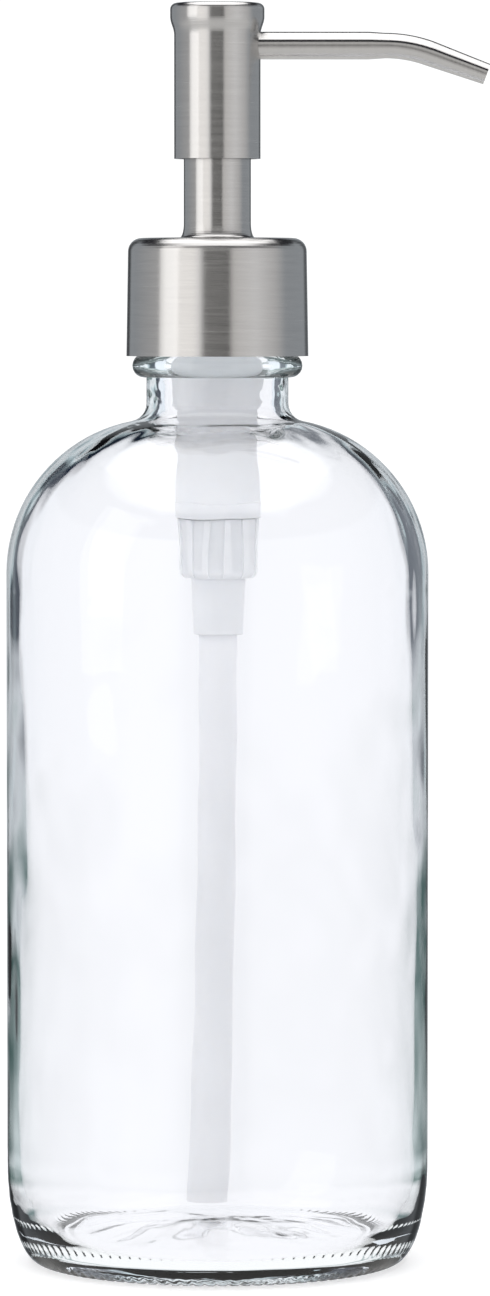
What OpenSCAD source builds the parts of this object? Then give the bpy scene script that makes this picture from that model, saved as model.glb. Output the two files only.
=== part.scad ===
// Soap pump dispenser: a clear glass bottle with a screw-on metal lotion pump.
// Z is up, the origin is the centre of the bottle's foot, and the spout points along +X.
// The bottle stays put. The collar unscrews and lifts the pump, the head presses down
// against the return spring and swivels on its stem, and the valves move inside the barrel.

/* [Bottle] */
// Outer diameter of the glass body
bottle_d = 75; // [64:0.5:92]
// Height of the glass, from its foot to its lip
bottle_h = 171.9; // [140:0.1:210]
// Wall of the glass body
glass_wall = 2.4; // [1.8:0.1:3]
// Radius of the shoulder, in section
shoulder_r = 27.5; // [22:0.5:30]
// Height of the curved heel above the foot
heel_h = 17.8; // [12:0.1:22]
// Glass over the ring that the bottle stands on
foot_t = 3.4; // [3:0.1:5]
// How far the ring that the bottle stands on lies inside its side
heel_w = 5.9; // [4:0.1:9]
// Width of that ring
foot_ring_w = 2.4; // [1.5:0.1:4]
// Rise of the hollow under the foot
punt_h = 4.4; // [2:0.1:5]
// Glass at the middle of the foot
base_t = 3.4; // [3:0.1:6]

/* [Neck] */
// Outer diameter of the neck and of the finish behind its thread
neck_d = 25.2; // [24.8:0.1:25.4]
// Diameter over the glass thread
thread_d = 27.5; // [27.1:0.1:27.6]
// Bore of the neck
neck_bore_d = 19; // [18:0.1:20.5]
// Height of the finish, from the bead to the lip
finish_h = 10.1; // [9.6:0.1:12]
// Diameter over the bead under the finish
bead_d = 30.2; // [29:0.1:30.6]
// Height of the bead
bead_h = 4.2; // [3.2:0.1:4.6]
// Straight neck between the bead and the fillet to the shoulder
neck_len = 4.6; // [3:0.1:8]
// Radius of the fillet between neck and shoulder
neck_fillet_r = 3.2; // [2:0.1:5]
// Pitch of the thread
thread_pitch = 4.233; // [4:0.001:4.4]
// Turns of thread on the glass
thread_turns = 1.25; // [1:0.05:1.35]

/* [Collar] */
// Diameter of the metal collar at its lower edge
collar_d = 32.3; // [31.8:0.1:38]
// Diameter of the collar just under its top corner
collar_top_d = 31.7; // [31.2:0.1:37]
// Height of the collar
collar_h = 20.9; // [18:0.1:26]
// How far the collar reaches down from the glass lip
collar_drop = 10.5; // [9.8:0.1:11]
// Radius of the collar's top corner
collar_corner_r = 2.4; // [1:0.1:3]
// Thickness of the sheet steel in the collar and the head
steel_t = 0.5; // [0.4:0.05:0.6]

/* [Head] */
// Diameter of the pump head
head_d = 15.3; // [15:0.1:19]
// Height of the pump head
head_h = 27.5; // [25:0.1:34]
// Diameter over the flared rim at its top
head_rim_d = 16.7; // [16:0.1:21]
// Distance from the head's top to the start of the flare
flare_drop = 5.6; // [4:0.1:6.5]
// Radius of the head's top edge
rim_corner_r = 1.1; // [0.8:0.1:1.4]
// Depth of the dish in the head's top
head_dish = 0.35; // [0:0.05:0.8]

/* [Sleeve] */
// Outer diameter of the narrow sleeve under the head
sleeve_d = 11.9; // [11.6:0.1:12.4]
// Wall of the sleeve
sleeve_t = 0.42; // [0.3:0.01:0.45]
// Diameter of the sleeve's flared foot
sleeve_foot_d = 13.4; // [12.8:0.1:14.4]
// Height of the flare
sleeve_foot_h = 2.5; // [1.5:0.1:3.5]
// Length of sleeve inside the head at rest
sleeve_cover = 3.5; // [2:0.1:5]

/* [Spout] */
// Outer diameter of the spout where it leaves the head
spout_d = 4.9; // [4.4:0.1:5.2]
// Outer diameter of the spout in its bend
spout_bend_d = 4.5; // [4.2:0.1:4.8]
// Outer diameter of the spout at its tip
spout_tip_d = 3.8; // [3.2:0.1:4.2]
// Wall of the spout
spout_wall = 0.4; // [0.3:0.05:0.5]
// Distance from the pump's axis to the tip
spout_reach = 47.7; // [40:0.1:60]
// Distance from the pump's axis to the corner that the bend rounds
spout_corner_x = 33.8; // [28:0.1:36]
// Angle that the spout turns down
spout_angle = 19.9; // [10:0.1:30]
// Radius of the bend
spout_bend_r = 23; // [15:0.5:28]
// Distance from the head's top to the spout's axis
spout_drop = 7.5; // [7:0.1:9]

/* [Pump] */
// Travel of the head
stroke = 11; // [8:0.1:13.2]
// Outer diameter of the barrel
barrel_d = 14.8; // [14:0.1:15.4]
// Outer diameter of the barrel's top, inside the neck
barrel_top_d = 16; // [15.4:0.1:17]
// Bore that the piston runs in
barrel_bore_d = 10.6; // [10:0.1:11]
// Length of the barrel under its flange, to its lower shoulder
barrel_len = 40.3; // [38:0.1:50]
// Length of the wider top of the barrel
barrel_top_len = 20.6; // [16:0.1:26]
// Height of the ribbed valve cup
cup_h = 10.9; // [10:0.1:14]
// Diameter over the cup's ribs
cup_d = 14.3; // [13.9:0.1:15]
// Ribs round the cup
cup_ribs = 12; // [8:1:20]
// Length of the nozzle that holds the dip tube
nozzle_len = 9.8; // [7:0.1:13]
// Outer diameter of the dip tube
dip_tube_d = 7; // [6:0.1:7.4]
// Wall of the dip tube
dip_tube_wall = 1; // [0.6:0.1:1.3]
// Sideways bow of the dip tube at its lower end
dip_tube_bow = 2; // [0.5:0.1:6]
// Gap between the dip tube and the glass under it
dip_tube_gap = 2.2; // [1:0.1:8]
// Outer diameter of the stem
stem_d = 5.4; // [5:0.1:5.6]
// Bore of the stem
stem_bore_d = 3.4; // [2.8:0.1:3.6]
// Height of the piston
piston_h = 8; // [7:0.1:10]
// Free travel of the piston on the stem
piston_slip = 1; // [0.6:0.1:1.4]
// Diameter of the inlet ball
ball_d = 5; // [4.6:0.1:5.2]
// Travel of the inlet ball
ball_lift = 2; // [1:0.1:2.2]
// Wire of the return spring
spring_wire_d = 0.8; // [0.6:0.1:0.9]
// Mean diameter of the return spring
spring_mean_d = 6.6; // [6:0.1:7]
// Coils of the return spring
spring_turns = 9; // [6:1:10]

/* [Fits] */
// Radial gap of a part that slides or turns on another
slide_gap = 0.05; // [0.03:0.01:0.08]
// Radial gap of a part pushed into another for good
seat_gap = 0.02; // [0.01:0.01:0.05]
// Gap between faces that turn past each other
face_gap = 0.1; // [0.05:0.01:0.2]
// Gap between the two threads, over the crest of each
thread_gap = 0.3; // [0.25:0.01:0.4]

/* [Hidden] */
$fn = 96;

// Radii
bottle_r = bottle_d / 2;
foot_r = bottle_r - heel_w;
neck_r = neck_d / 2;
neck_bore_r = neck_bore_d / 2;
thread_r = thread_d / 2;
bead_r = bead_d / 2;
collar_r = collar_d / 2;
collar_top_r = collar_top_d / 2;
head_r = head_d / 2;
head_rim_r = head_rim_d / 2;
sleeve_r = sleeve_d / 2;
sleeve_in_r = sleeve_r - sleeve_t;
stem_r = stem_d / 2;
stem_bore_r = stem_bore_d / 2;
barrel_r = barrel_d / 2;
barrel_bore_r = barrel_bore_d / 2;
dip_tube_r = dip_tube_d / 2;
ball_r = ball_d / 2;

// Glass, from the lip down
lip_z = bottle_h;
lip_round = 0.8;
bead_top_z = lip_z - finish_h;
bead_z = bead_top_z - bead_h;
neck_end_z = bead_z - neck_len;
// The arc grows on a wide bottle, so that it still rises all the way to the neck
shoulder_arc_r = max(shoulder_r, bottle_r - neck_r);
shoulder_axis_r = bottle_r - shoulder_arc_r;
inner_fillet_r = 6;

// Height of the shoulder's centre, so that its arc meets the neck's fillet smoothly
function meeting_drop(arc_r, fillet_r, fillet_axis_r) =
    sqrt(pow(arc_r + fillet_r, 2) - pow(fillet_axis_r - shoulder_axis_r, 2));
shoulder_z = neck_end_z - meeting_drop(shoulder_arc_r, neck_fillet_r, neck_r + neck_fillet_r);
inner_shoulder_r = shoulder_arc_r - glass_wall;
inner_fillet_z = shoulder_z + meeting_drop(inner_shoulder_r, inner_fillet_r, neck_bore_r + inner_fillet_r);

// Threads: the glass one rises from here, and the collar's runs half a pitch under it
thread_start_h = 3.2;
glass_thread_z = bead_top_z + thread_start_h;
thread_root_w = 2.2;
thread_crest_w = 1;
thread_bury = 0.3;
insert_bore_r = thread_r + thread_gap;
insert_crest_r = neck_r + thread_gap;
insert_turns_less = 0.25;

// Collar and what it clamps, from the lip up
collar_z = lip_z - collar_drop;
collar_top_z = collar_z + collar_h;
collar_hole_gap = 0.25;
collar_hole_r = sleeve_r + collar_hole_gap;
gasket_t = 1.2;
gasket_overhang = 0.2;
gasket_out_r = neck_r + gasket_overhang;
gasket_bore_gap = 0.3;
gasket_in_r = neck_bore_r + gasket_bore_gap;
flange_z = lip_z + gasket_t;
flange_t = 1.4;
flange_overhang = 0.3;
flange_r = neck_r + flange_overhang;
flange_top_z = flange_z + flange_t;
web_t = 1.5;
web_z = flange_top_z + face_gap;
web_overhang = 0.7;
web_hole_r = neck_bore_r + web_overhang;
insert_bead_gap = 0.2;
insert_z = bead_top_z + insert_bead_gap;
insert_out_gap = 0.04;
insert_ribs = 12;
insert_rib_t = 1;
insert_rib_h = 3.4;
insert_rib_inset = 0.6;

// Guide bush, sleeve and head
bush_flange_gap = 0.4;
bush_flange_r = web_hole_r - bush_flange_gap;
bush_flange_t = 2;
bush_spigot_r = 6.5;
bush_spigot_len = 6;
bush_z = flange_top_z - bush_spigot_len;
bush_tower_r = sleeve_in_r - seat_gap;
bush_guide_rise = 0.4;
bush_guide_top_z = collar_top_z + bush_guide_rise;
bush_tower_wall = 1.05;
core_play = slide_gap + 0.1;
bush_bore_r = bush_tower_r - bush_tower_wall;
core_tube_r = bush_bore_r - core_play;
sleeve_z = collar_top_z + face_gap;
head_stop_gap = 0.4;
head_z = sleeve_z + sleeve_foot_h + head_stop_gap + stroke;
head_top_z = head_z + head_h;
flare_z = head_top_z - flare_drop;
rim_band = 1.3;
rim_z = head_top_z - rim_corner_r - rim_band;
sleeve_top_z = head_z + sleeve_cover;
bush_short = 0.2;
bush_top_z = sleeve_top_z - bush_short;
seal_h = 1.8;
core_stop_gap = 0.5;
core_z = bush_guide_top_z + seal_h + stroke + core_stop_gap;
puck_stop_gap = 0.8;
puck_z = sleeve_top_z + stroke + puck_stop_gap;
puck_top_gap = 0.3;
puck_top_z = head_top_z - head_dish - steel_t - puck_top_gap;
spout_z = head_top_z - spout_drop;
spout_r = spout_d / 2;
spout_root_x = 3;

// Stem, rod and piston, from the bush down
stem_collar_t = 1;
stem_collar_w = 0.7;
stem_collar_r = stem_r + stem_collar_w;
stem_collar_z = bush_z - face_gap - stem_collar_t;
stem_top_gap = 0.4;
stem_top_z = spout_z - spout_r - stem_top_gap;
piston_z = stem_collar_z - piston_slip - piston_h;
stem_foot_rise = 3;
stem_z = piston_z + stem_foot_rise;
rod_flange_t = 1.4;
rod_flange_gap = 1;
rod_flange_r = barrel_bore_r - rod_flange_gap;
rod_z = piston_z - rod_flange_t;
rod_r = stem_bore_r - seat_gap;
rod_grip = 6.5;
rod_top_z = stem_z + rod_grip;
rod_fin_w = 1.1;
rod_lap = 0.6;
piston_bore_r = stem_r + slide_gap;
piston_flow_gap = 0.5;
piston_seat_r = rod_r + piston_flow_gap;

// Barrel, valve cup and dip tube
barrel_z = flange_z - barrel_len;
spigot_wall = 0.75;
spigot_r = barrel_bore_r + spigot_wall;
spigot_len = 6.2;
cup_bore_r = spigot_r + slide_gap;
cup_wall = 0.65;
cup_rib_w = 1.1;
cup_corner_r = 1.5;
cup_z = barrel_z - cup_h;
cup_floor_t = 2.4;
cup_floor_z = cup_z + cup_floor_t;
seat_hole_r = ball_r * 0.6;
seat_mouth_gap = 0.6;
seat_mouth_r = ball_r + seat_mouth_gap;
// Ball on a 45 degree seat, just clear of it
ball_seat_gap = 0.03;
seat_apex_z = cup_floor_z - seat_mouth_r;
ball_z = seat_apex_z + ball_r * sqrt(2) + ball_seat_gap;
nozzle_z = cup_z - nozzle_len;
nozzle_tip_wall = 1.05;
nozzle_tip_r = dip_tube_r + nozzle_tip_wall;
nozzle_root_wall = 1.4;
nozzle_root_r = dip_tube_r + nozzle_root_wall;
tube_stop_t = 1;
tube_stop_z = cup_z - tube_stop_t;
tube_straight = 2;
tube_bend_z = nozzle_z - tube_straight;
inner_floor_z = punt_h + base_t;
tube_end_z = inner_floor_z + dip_tube_gap;

// Cage over the ball
cage_gap = 0.08;
cage_r = barrel_bore_r - cage_gap;
cage_wall = 0.8;
cage_stop_z = ball_z + ball_r + ball_lift + cage_gap;
cage_bar_t = 1.2;
cage_bar_w = 1.1;
cage_z = cup_floor_z + seat_gap;
cage_legs_h = 2.2;
cage_ring_z = cage_z + cage_legs_h;
cage_head_h = 2.6;
cage_top_z = cage_stop_z + cage_bar_t + cage_head_h;

// Cuts run this far past the face that they open
cut = 1;

// Points along an arc about (x, y), from angle a to angle b
function arc(x, y, r, a, b, steps) =
    [for (i = [0 : steps]) let (t = a + (b - a) * i / steps) [x + r * cos(t), y + r * sin(t)]];

// Points along a shallow dome from the axis out to radius r, which rises by h at the axis above height z
function dome(r, z, h, steps) =
    let (ball = (r * r + h * h) / (2 * h), half = asin(r / ball))
    [for (i = [0 : steps]) let (t = half * i / steps) [ball * sin(t), z + h - ball + ball * cos(t)]];

// Points along a smooth step in radius, from (r0, z0) to (r1, z1)
function s_curve(r0, z0, r1, z1, steps) =
    [for (i = [0 : steps]) let (t = i / steps) [r0 + (r1 - r0) * (1 - cos(180 * t)) / 2, z0 + (z1 - z0) * t]];

function reversed(list) = [for (i = [len(list) - 1 : -1 : 0]) list[i]];

// Triangles that join equal rings of points into one closed tube
function tube_faces(rings, sides) = concat(
    [for (i = [0 : rings - 2], j = [0 : sides - 1])
        [i * sides + j, (i + 1) * sides + (j + 1) % sides, i * sides + (j + 1) % sides]],
    [for (i = [0 : rings - 2], j = [0 : sides - 1])
        [i * sides + j, (i + 1) * sides + j, (i + 1) * sides + (j + 1) % sides]],
    [for (j = [1 : sides - 2]) [0, j, j + 1]],
    [for (j = [1 : sides - 2]) let (last = (rings - 1) * sides) [last, last + j + 1, last + j]]);

module turned(outline) {
    rotate_extrude() polygon(outline);
}

module ring(out_r, in_r, z0, z1) {
    turned([[in_r, z0], [out_r, z0], [out_r, z1], [in_r, z1]]);
}

module rod(r, z0, z1) {
    translate([0, 0, z0]) cylinder(r = r, h = z1 - z0);
}

// Helical ridge between a buried root and a crest, fading in and out over its ends
module thread_ridge(root_r, crest_r, z0, start, turns) {
    steps = ceil(turns * 24);
    fade = 3;
    rings = [for (i = [0 : steps])
        let (a = start + 360 * turns * i / steps,
             z = z0 + thread_pitch * turns * i / steps,
             share = max(0.2, min(1, i / fade, (steps - i) / fade)),
             r = root_r + (crest_r - root_r) * share,
             corners = [[root_r, -thread_root_w / 2], [root_r, thread_root_w / 2],
                        [r, thread_crest_w / 2], [r, -thread_crest_w / 2]],
             order = crest_r > root_r ? corners : reversed(corners))
        for (c = order) [c[0] * cos(a), c[0] * sin(a), z + c[1]]];
    polyhedron(rings, tube_faces(steps + 1, 4), convexity = 6);
}

module bottle() {
    shoulder_angle = atan2(neck_end_z - shoulder_z, neck_r + neck_fillet_r - shoulder_axis_r);
    inner_angle = atan2(inner_fillet_z - shoulder_z, neck_bore_r + inner_fillet_r - shoulder_axis_r);
    inner_r = bottle_r - glass_wall;
    floor_r = foot_r - foot_ring_w - 1;
    inner_heel_h = heel_h - foot_t;
    outside = concat(
        dome(foot_r - foot_ring_w, 0, punt_h, 12),
        [for (i = [0 : 16]) let (t = 90 * i / 16)
            [foot_r + (bottle_r - foot_r) * sin(t), heel_h * (1 - cos(t))]],
        arc(shoulder_axis_r, shoulder_z, shoulder_arc_r, 0, shoulder_angle, 24),
        arc(neck_r + neck_fillet_r, neck_end_z, neck_fillet_r, 180 + shoulder_angle, 180, 8),
        [[neck_r, bead_z]],
        arc(bead_r - bead_h / 2, bead_z + bead_h / 2, bead_h / 2, -90, 90, 12),
        [[neck_r, bead_top_z]],
        arc(neck_r - lip_round, lip_z - lip_round, lip_round, 0, 90, 4));
    inside = concat(
        arc(neck_bore_r + lip_round, lip_z - lip_round, lip_round, 90, 180, 4),
        arc(neck_bore_r + inner_fillet_r, inner_fillet_z, inner_fillet_r, 180, 180 + inner_angle, 10),
        arc(shoulder_axis_r, shoulder_z, inner_shoulder_r, inner_angle, 0, 24),
        [for (i = [14 : -1 : 0]) let (t = 90 * i / 14)
            [floor_r + (inner_r - floor_r) * sin(t), foot_t + inner_heel_h * (1 - cos(t))]],
        reversed(dome(floor_r - 1, foot_t, inner_floor_z - foot_t, 12)));
    color("lightcyan", 0.4) {
        turned(concat(outside, inside));
        thread_ridge(neck_r - thread_bury, thread_r, glass_thread_z, 0, thread_turns);
    }
}

// Outline of the collar's outside or, taken in by the sheet, of its inside
function collar_outline(in) =
    let (corner = collar_corner_r - in * 0.8)
    concat([[collar_r - in, collar_z]],
        arc(collar_top_r - in - corner, collar_top_z - in - corner, corner, 0, 90, 8));

module collar_shell() {
    color("silver")
    turned(concat(collar_outline(0), [[collar_hole_r, collar_top_z], [collar_hole_r, collar_top_z - steel_t]],
        reversed(collar_outline(steel_t))));
}

module collar_insert() {
    in = steel_t + insert_out_gap;
    top_z = collar_top_z - in;
    corner = collar_corner_r;
    top_chamfer = 1.6;
    inner_chamfer = 0.4;
    rib_sink = 0.2;
    wall_x = function (z) collar_r - in + (collar_top_r - collar_r) * (z - collar_z) / (collar_h - corner);
    color("whitesmoke") {
        turned([[insert_bore_r, insert_z], [wall_x(insert_z), insert_z],
            [wall_x(top_z - corner), top_z - corner], [collar_top_r - in - corner * 0.8, top_z],
            [insert_bore_r - top_chamfer, top_z], [insert_bore_r - inner_chamfer, web_z + web_t],
            [web_hole_r, web_z + web_t],
            [web_hole_r, web_z], [insert_bore_r, web_z]]);
        thread_ridge(insert_bore_r + thread_bury, insert_crest_r,
            glass_thread_z - thread_pitch * (0.5 - insert_turns_less), 360 * insert_turns_less,
            thread_turns - insert_turns_less);
        for (i = [0 : insert_ribs - 1]) rotate([0, 0, i * 360 / insert_ribs])
            translate([web_hole_r + insert_rib_inset, -insert_rib_t / 2, web_z + web_t - rib_sink])
                cube([insert_bore_r - web_hole_r - 2 * insert_rib_inset, insert_rib_t, insert_rib_h]);
    }
}

module neck_gasket() {
    color("gainsboro") ring(gasket_out_r, gasket_in_r, lip_z, lip_z + gasket_t);
}

module pump_barrel() {
    top_r = barrel_top_d / 2;
    step_z = flange_z - barrel_top_len;
    step_h = 0.8;
    vent_r = 0.6;
    vent_drop = 2.4;
    spigot_lead = 0.3;
    shoulder_h = 2.6;
    waist = 0.2;
    edge = 0.15;
    color("white") difference() {
        turned([[barrel_bore_r, barrel_z - spigot_len], [spigot_r - spigot_lead, barrel_z - spigot_len],
            [spigot_r, barrel_z - spigot_len + 2 * spigot_lead], [spigot_r, barrel_z],
            [barrel_r - edge, barrel_z], [barrel_r, barrel_z + edge], [barrel_r, barrel_z + shoulder_h],
            [barrel_r - waist, barrel_z + shoulder_h + waist], [barrel_r - waist, step_z - step_h],
            [top_r, step_z], [top_r, flange_z], [flange_r, flange_z],
            [flange_r, flange_top_z], [bush_spigot_r, flange_top_z], [bush_spigot_r, bush_z],
            [barrel_bore_r, bush_z]]);
        translate([0, 0, bush_z - vent_drop]) rotate([0, -90, 0])
            cylinder(r = vent_r, h = top_r + cut, $fn = 24);
    }
}

module guide_bush() {
    relief_out_r = bush_spigot_r - 1;
    relief_in_r = stem_r + slide_gap + 1.3;
    relief_top_z = flange_top_z - 0.8;
    tower_root_h = 0.6;
    lead = 0.4;
    color("white") difference() {
        turned([[stem_r + slide_gap, bush_z], [bush_spigot_r - seat_gap, bush_z],
            [bush_spigot_r - seat_gap, flange_top_z], [bush_flange_r, flange_top_z],
            [bush_flange_r, flange_top_z + bush_flange_t],
            [bush_tower_r, flange_top_z + bush_flange_t + tower_root_h],
            [bush_tower_r, bush_top_z - lead], [bush_tower_r - lead, bush_top_z], [bush_bore_r, bush_top_z],
            [bush_bore_r, bush_guide_top_z], [stem_r + slide_gap, bush_guide_top_z]]);
        ring(relief_out_r, relief_in_r, bush_z - cut, relief_top_z);
    }
}

module stem_seal() {
    heel_t = 0.9;
    lip_root_t = 0.7;
    lip_tip_t = 0.4;
    lip_short = 0.1;
    wall_in_r = bush_bore_r - 0.5;
    z = bush_guide_top_z;
    tip_z = z + seal_h - lip_short;
    r = stem_r + slide_gap;
    color("gainsboro")
    turned([[r + lip_short, z], [bush_bore_r - seat_gap, z], [bush_bore_r - seat_gap, z + seal_h],
        [wall_in_r, z + seal_h], [wall_in_r, z + heel_t], [r + lip_root_t, z + heel_t],
        [r + lip_tip_t, tip_z], [r, tip_z], [r, tip_z - 0.3], [r + lip_short, z + 0.6]]);
}

// One side of the sleeve's wall, at radius r, with its flared foot
function sleeve_side(r) =
    let (flare = (sleeve_foot_d - sleeve_d) / 2)
    concat([for (i = [0 : 8]) let (t = 90 * i / 8)
        [r + flare * (1 - sin(t)), sleeve_z + sleeve_foot_h * (1 - cos(t))]], [[r, sleeve_top_z]]);

module lower_sleeve() {
    color("silver") turned(concat(sleeve_side(sleeve_r), reversed(sleeve_side(sleeve_in_r))));
}

module valve_cup() {
    wall_r = cup_bore_r + cup_wall;
    corner = cup_corner_r;
    tip_chamfer = 0.2;
    rib_root_r = cup_bore_r + 0.1;
    top_z = barrel_z - face_gap;
    rib_r = cup_d / 2;
    color("white") difference() {
        union() {
            turned(concat([[0, nozzle_z], [nozzle_tip_r - tip_chamfer, nozzle_z],
                [nozzle_tip_r, nozzle_z + tip_chamfer],
                [nozzle_root_r, cup_z]], arc(wall_r - corner, cup_z + corner, corner, -90, 0, 6),
                [[wall_r, top_z], [0, top_z]]));
            intersection() {
                for (i = [0 : cup_ribs - 1]) rotate([0, 0, (i + 0.5) * 360 / cup_ribs])
                    translate([rib_root_r, -cup_rib_w / 2, cup_z]) cube([rib_r, cup_rib_w, cup_h]);
                turned(concat([[0, cup_z]], arc(rib_r - corner, cup_z + corner, corner, -90, 0, 6),
                    [[rib_r, top_z], [0, top_z]]));
            }
        }
        rod(cup_bore_r, cup_floor_z, barrel_z + cut);
        translate([0, 0, seat_apex_z + seat_hole_r])
            cylinder(r1 = seat_hole_r, r2 = seat_mouth_r + cut / 2, h = seat_mouth_r + cut / 2 - seat_hole_r);
        rod(seat_hole_r, tube_stop_z - cut, cup_floor_z);
        rod(dip_tube_r + seat_gap, nozzle_z - cut, tube_stop_z);
    }
}

module valve_cage() {
    fins = 4;
    fin_in_r = ball_r + 0.2;
    fin_out_r = cage_r - 0.3;
    fin_short = 0.5;
    seat_t = 1;
    spring_seat_w = 1.2;
    color("white") {
        ring(cage_r, cage_r - cage_wall, cage_ring_z, cage_top_z);
        ring(cage_r - cage_wall / 2, spring_mean_d / 2 - spring_seat_w, cage_top_z - seat_t, cage_top_z);
        for (i = [0 : fins - 1]) rotate([0, 0, 45 + i * 360 / fins]) {
            translate([fin_in_r, -cage_bar_w / 2, cage_z])
                cube([fin_out_r - fin_in_r, cage_bar_w, cage_top_z - fin_short - cage_z]);
            translate([0, -cage_bar_w / 2, cage_stop_z]) cube([fin_in_r + 0.2, cage_bar_w, cage_bar_t]);
        }
    }
}

module inlet_ball() {
    color("silver") translate([0, 0, ball_z]) sphere(r = ball_r);
}

// Straight in the nozzle, then bowed towards -X as a tube cut from a coil is
module dip_tube_solid(r) {
    drop = tube_bend_z - tube_end_z;
    bow_r = (drop * drop + dip_tube_bow * dip_tube_bow) / (2 * dip_tube_bow);
    rod(r, tube_bend_z, tube_stop_z - 0.2);
    translate([-bow_r, 0, tube_bend_z]) rotate([-90, 0, 0])
        rotate_extrude(angle = asin(drop / bow_r)) translate([bow_r, 0]) circle(r = r);
}

module dip_tube() {
    color("ghostwhite", 0.8) difference() {
        dip_tube_solid(dip_tube_r);
        dip_tube_solid(dip_tube_r - dip_tube_wall);
    }
}

module return_spring() {
    sides = 6;
    per_turn = 16;
    steps = spring_turns * per_turn;
    wire_r = spring_wire_d / 2;
    z0 = cage_top_z + wire_r + 0.02;
    z1 = rod_z - wire_r - 0.02;
    // Closed end coils: the first and last turns rise by one wire only
    rise = function (t)
        let (dead = spring_wire_d, live = (z1 - z0 - 2 * dead) / (spring_turns - 2))
        t < 1 ? dead * t : t > spring_turns - 1 ? z1 - z0 - dead * (spring_turns - t) : dead + live * (t - 1);
    rings = [for (i = [0 : steps])
        let (t = i / per_turn, a = 360 * t)
        for (j = [0 : sides - 1])
            let (b = -360 * j / sides, r = spring_mean_d / 2 + wire_r * cos(b))
            [r * cos(a), r * sin(a), z0 + rise(t) + wire_r * sin(b)]];
    color("silver") polyhedron(rings, tube_faces(steps + 1, sides), convexity = 20);
}

module stem() {
    color("white") {
        ring(stem_r, stem_bore_r, stem_z, stem_top_z);
        ring(stem_collar_r, stem_r - stem_collar_w / 2, stem_collar_z, stem_collar_z + stem_collar_t);
    }
}

module piston_rod() {
    pip_r = spring_mean_d / 2 - spring_wire_d / 2 - 0.25;
    pip_h = 1.6;
    fin_z = stem_z - rod_lap - 0.1;
    color("white") {
        rod(rod_flange_r, rod_z, piston_z);
        rod(pip_r, rod_z - pip_h, rod_z);
        rod(rod_r, piston_z, stem_z - rod_lap);
        intersection() {
            rod(rod_r, fin_z, rod_top_z);
            for (a = [0, 90]) rotate([0, 0, a])
                translate([-rod_r, -rod_fin_w / 2, fin_z]) cube([2 * rod_r, rod_fin_w, rod_top_z]);
        }
    }
}

module piston() {
    top_z = piston_z + piston_h;
    lip_r = barrel_bore_r - slide_gap;
    waist_r = barrel_bore_r - 0.8;
    bore_z = stem_z - piston_slip - 0.3;
    color("ivory")
    turned([[piston_seat_r, piston_z], [piston_seat_r + 1, piston_z], [piston_seat_r + 1, piston_z + 0.6],
        [waist_r - 0.4, piston_z + 0.6], [lip_r - 0.2, piston_z + 0.2], [lip_r, piston_z + 0.4],
        [lip_r, piston_z + 1], [waist_r, piston_z + 2.4], [waist_r, top_z - 2.4], [lip_r, top_z - 1],
        [lip_r, top_z - 0.4], [lip_r - 0.2, top_z - 0.2], [waist_r - 0.4, top_z - 1.6],
        [piston_bore_r + 0.7, top_z - 1.6], [piston_bore_r + 0.7, top_z], [piston_bore_r, top_z],
        [piston_bore_r, bore_z], [piston_seat_r, bore_z]]);
}

module head_core() {
    puck_r = min(head_r, head_rim_r) - steel_t - insert_out_gap;
    passage_r = spout_r - spout_wall - 0.7;
    lead = 0.3;
    color("white") difference() {
        turned([[0, core_z], [core_tube_r - lead, core_z], [core_tube_r, core_z + lead],
            [core_tube_r, puck_z], [puck_r, puck_z], [puck_r, puck_top_z], [0, puck_top_z]]);
        rod(stem_r + slide_gap, core_z - cut, stem_top_z + face_gap);
        rod(stem_bore_r, stem_top_z, spout_z);
        translate([0, 0, spout_z]) rotate([0, 90, 0]) {
            cylinder(r = passage_r, h = spout_root_x + cut);
            translate([0, 0, spout_root_x]) cylinder(r = spout_r + seat_gap, h = head_d);
        }
    }
}

// One side of the head's sheet, taken in from the outside
function head_side(in) =
    let (corner = rim_corner_r - in * 0.7)
    concat([[head_r - in, head_z]], s_curve(head_r - in, flare_z, head_rim_r - in, rim_z, 10),
        arc(head_rim_r - in - corner, head_top_z - in - corner, corner, 0, 90, 8),
        [[0, head_top_z - in - head_dish]]);

module head_shell() {
    color("silver") difference() {
        turned(concat(head_side(0), reversed(head_side(steel_t))));
        translate([0, 0, spout_z]) rotate([0, 90, 0]) cylinder(r = spout_r + slide_gap, h = head_d);
    }
}

// Solid along the spout: straight, necked in, bent down and drawn to its tip
module spout_solid(root_r, bend_r, tip_r, start_x, cut_back) {
    tangent = spout_bend_r * tan(spout_angle / 2);
    neck_in = 3;
    plug_lap = 0.1;
    bend_x = spout_corner_x - tangent;
    tail = (spout_reach - spout_corner_x) / cos(spout_angle) - tangent - cut_back;
    translate([0, 0, spout_z]) {
        translate([start_x, 0, 0]) rotate([0, 90, 0]) {
            cylinder(r = root_r, h = bend_x - neck_in - start_x);
            translate([0, 0, bend_x - neck_in - start_x])
                cylinder(r1 = root_r, r2 = bend_r, h = neck_in);
            // A plug that laps the straight part into the bend
            translate([0, 0, bend_x - plug_lap - start_x]) cylinder(r = bend_r - plug_lap, h = 2 * plug_lap);
        }
        translate([bend_x, 0, -spout_bend_r]) rotate([90, 0, 0]) rotate([0, 0, 90 - spout_angle]) {
            rotate_extrude(angle = spout_angle) translate([spout_bend_r, 0]) circle(r = bend_r);
            translate([spout_bend_r, 0, 0]) rotate([90, 0, 0]) cylinder(r1 = bend_r, r2 = tip_r, h = tail);
        }
    }
}

module spout_tube() {
    color("silver") difference() {
        spout_solid(spout_r, spout_bend_d / 2, spout_tip_d / 2, spout_root_x, 0);
        spout_solid(spout_bend_d / 2 - spout_wall, spout_bend_d / 2 - spout_wall,
            spout_tip_d / 2 - spout_wall, spout_root_x - 1, -0.01);
    }
}

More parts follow.
